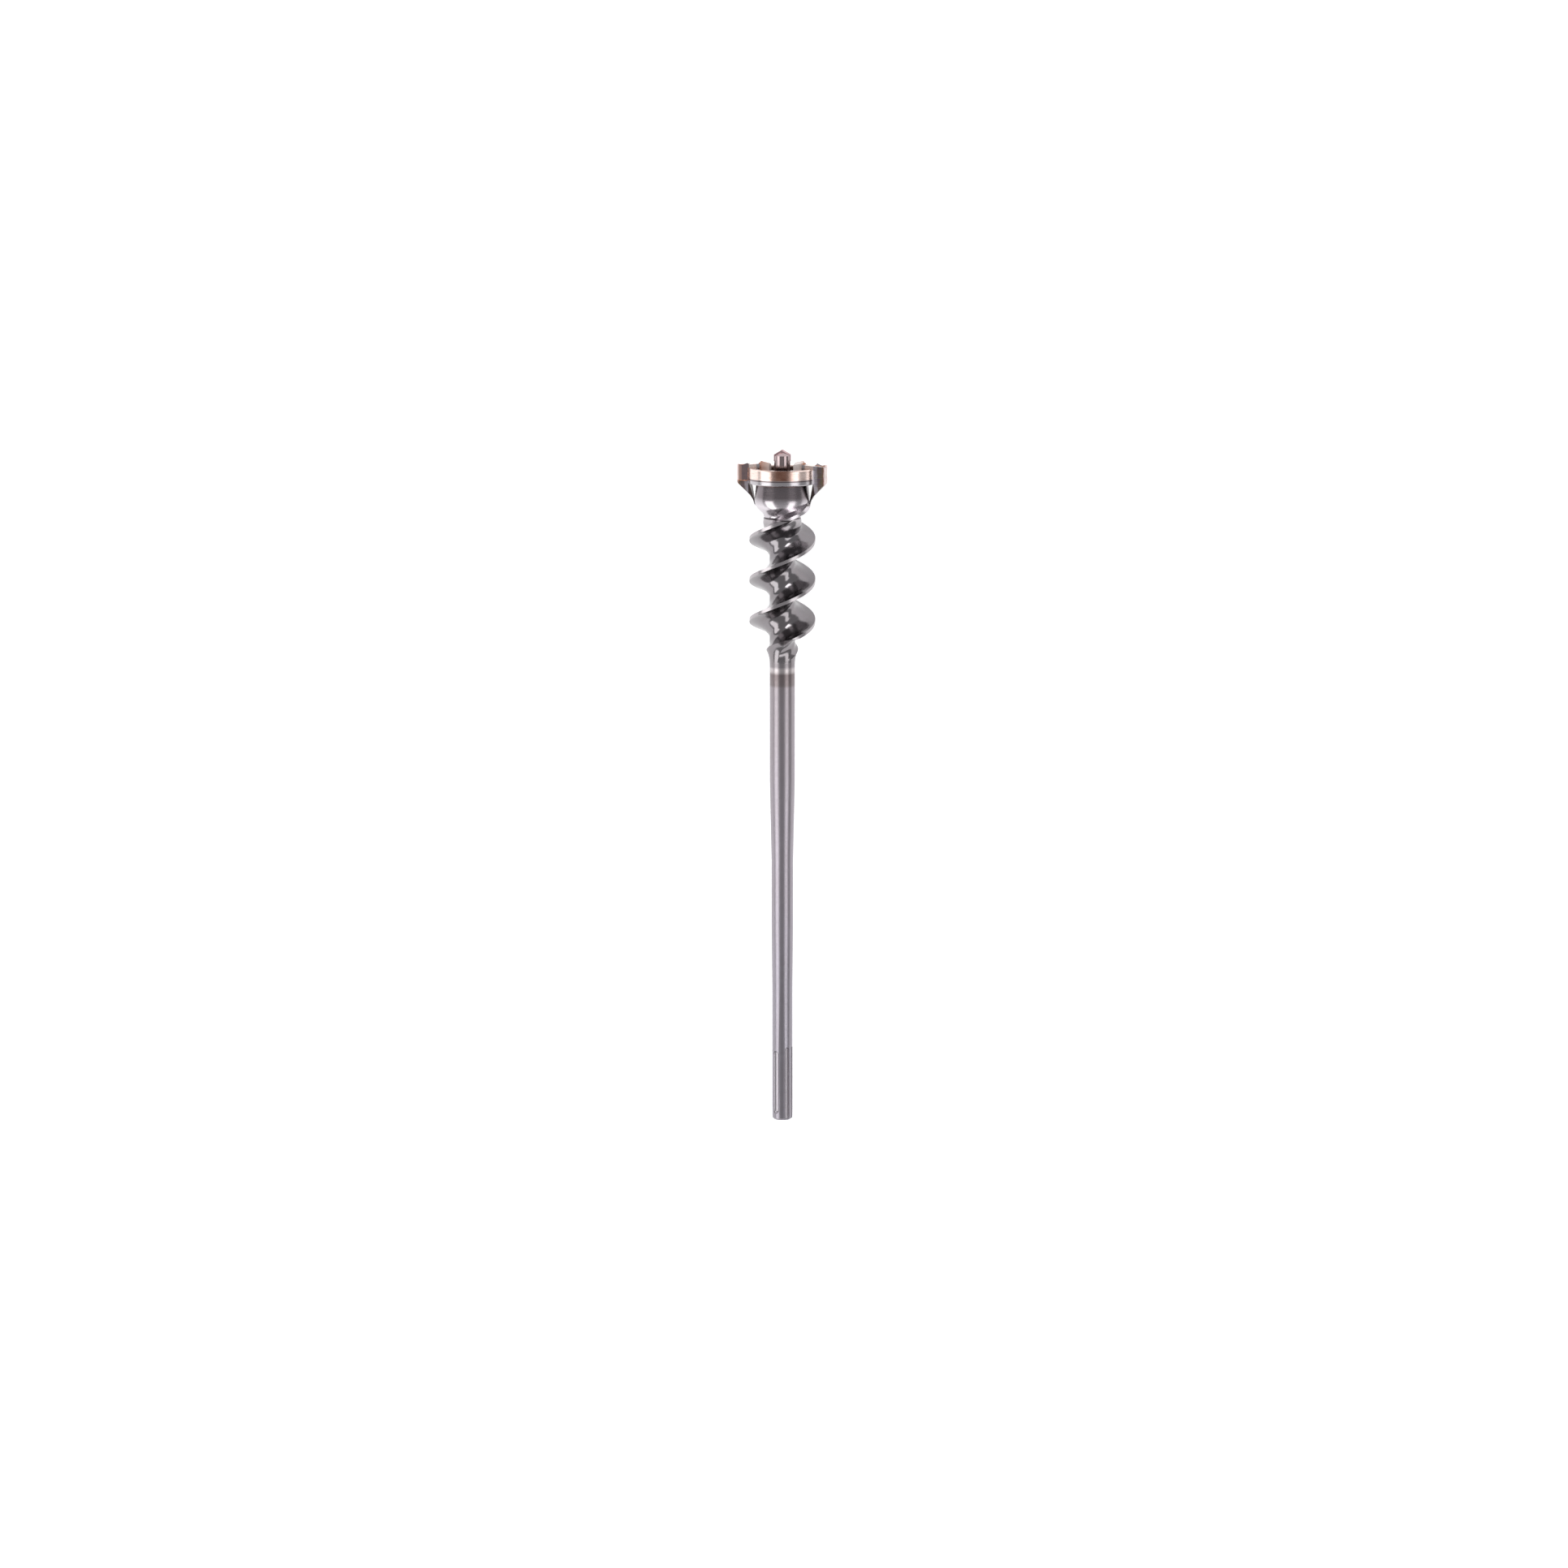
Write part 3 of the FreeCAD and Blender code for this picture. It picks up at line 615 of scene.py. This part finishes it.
# the wing cutters' faces are painted dark as painted shade, and their outer edges from 38.7 out carry a
# painted highlight
wing_carbide = sintered_carbide("sintered carbide wing cutters", 0.4, [
    (29.0, "544b50"), (35.4, "4f464b"), (36.2, "8d7068"),
    (38.2, "9c7f73"), (38.7, "f0dbd6"), (41.0, "f4e2dc"),
], 31.0)
# the inner cutters are painted near white, painted light on their faces; the left one keeps a copper tint
inner_carbide = {
    "left": sintered_carbide("sintered carbide, painted pale, with copper film", 0.15, [
        (10, "efe2dc"), (14, "e8cdc2"), (19.5, "c8957f"),
    ], 41.0),
    "right": sintered_carbide("sintered carbide, painted pale", 0.15, [
        (10, "f2ebe8"), (16, "f0e6e2"), (19.5, "d6b8ab"),
    ], 43.0),
}
edge_broken("pilot_tip", tip_carbide, TIP_BREAK)
for side in ("left", "right"):
    edge_broken("wing_cutter_" + side, wing_carbide, CUTTER_BREAK)
    edge_broken("inner_cutter_" + side, inner_carbide[side], CUTTER_BREAK)
braze = copper_braze()
braze_piece("braze_beads_right", arm_beads(1), braze)
braze_piece("braze_beads_left", arm_beads(-1), braze)
braze_piece("braze_collar_of_pilot", pilot_beads(), braze)


# Floor, lamps and world

FLOOR_SIZE_M = 8.0
FLOOR_COLOUR = "e9e9ea"
FLOOR_OWN_LIGHT = 0.6
WORLD_COLOUR = "b4b4b6"


def pale_floor():
    # near-white matt sheet; seen directly or in metal it adds some light of its own
    mat, shader = new_material("pale studio floor", 0.0, 0.9)
    shader.inputs["Base Color"].default_value = srgb(FLOOR_COLOUR)
    shader.inputs["Specular IOR Level"].default_value = 0.0
    path = add(mat, "ShaderNodeLightPath")
    seen = add(mat, "ShaderNodeMath", {
        0: path.outputs["Is Camera Ray"], 1: path.outputs["Is Glossy Ray"],
    }, operation="MAXIMUM").outputs[0]
    seen = add(mat, "ShaderNodeMath", {
        0: seen, 1: path.outputs["Is Transmission Ray"],
    }, operation="MAXIMUM").outputs[0]
    shader.inputs["Emission Color"].default_value = (1, 1, 1, 1)
    mat.node_tree.links.new(faint(mat, seen, FLOOR_OWN_LIGHT), shader.inputs["Emission Strength"])
    bpy.ops.mesh.primitive_plane_add(size=FLOOR_SIZE_M)
    floor = bpy.context.object
    floor.name = "floor"
    floor.data.materials.append(mat)
    return floor


pale_floor()

# The long lamps stop beside the ring, so that the cup above its shoulder stays evenly dark
LAMP_DISTANCE_M = 1.5
LAMP_END_M = 0.2
LAMP_LENGTH_M = 3.4

# A square lamp past the point reaches the cutters behind the ring, which shades them from the others
POINT_LAMP_SIZE_M = 0.8
POINT_LAMP_PLACE_M = (-0.2, 1.5, 1.3)


def area_lamp(name, width_m, length_m, watts):
    lamp = bpy.data.lights.new(name, "AREA")
    lamp.shape = "RECTANGLE"
    lamp.size = width_m
    lamp.size_y = length_m
    lamp.energy = watts
    made = bpy.data.objects.new(name, lamp)
    bpy.context.collection.objects.link(made)
    return made


def softbox(name, side_angle, width_m, watts):
    # a long lamp beside the bit, side_angle from straight up, positive to the right
    made = area_lamp(name, width_m, LAMP_LENGTH_M, watts)
    turn = radians(side_angle)
    made.location = (
        LAMP_DISTANCE_M * sin(turn), LAMP_END_M - LAMP_LENGTH_M / 2, LAMP_DISTANCE_M * cos(turn),
    )
    made.rotation_euler = (0, turn, 0)


softbox("left softbox", side_angle=-57, width_m=1.0, watts=28)
softbox("right softbox", side_angle=42, width_m=0.75, watts=17)

point_lamp = area_lamp("point side lamp", POINT_LAMP_SIZE_M, POINT_LAMP_SIZE_M, watts=14)
point_lamp.location = POINT_LAMP_PLACE_M
towards_head = on_bit(0, RING_TOP, 0) - point_lamp.location
point_lamp.rotation_euler = towards_head.to_track_quat("-Z", "Y").to_euler()

world = bpy.data.worlds.new("studio")
bpy.context.scene.world = world
world.use_nodes = True
world.node_tree.nodes["Background"].inputs["Color"].default_value = srgb(WORLD_COLOUR)
world.node_tree.nodes["Background"].inputs["Strength"].default_value = 1.0


# Camera: the photograph looks at the bit from a little past square, on the point's side

PHOTO_PX = 1932
PHOTO_MM_PER_PX = 0.7189
LOOK_FROM_POINT_SIDE = 8.8
CAMERA_DISTANCE_M = 6.0
AIM_STATION = 302.2
AIM_RIGHT = 1.5

view_width_m = PHOTO_PX * PHOTO_MM_PER_PX * MM
camera_data = bpy.data.cameras.new("camera")
camera_data.sensor_width = 36.0
camera_data.lens = camera_data.sensor_width * CAMERA_DISTANCE_M / view_width_m
camera_data.clip_end = 50.0
camera = bpy.data.objects.new("camera", camera_data)
bpy.context.collection.objects.link(camera)
lean = radians(LOOK_FROM_POINT_SIDE) - TILT
aim = on_bit(AIM_RIGHT, AIM_STATION, 0)
camera.location = aim + Vector((0, sin(lean), cos(lean))) * CAMERA_DISTANCE_M
camera.rotation_euler = (-lean, 0, 0)
bpy.context.scene.camera = camera
bpy.context.scene.view_settings.view_transform = "Standard"
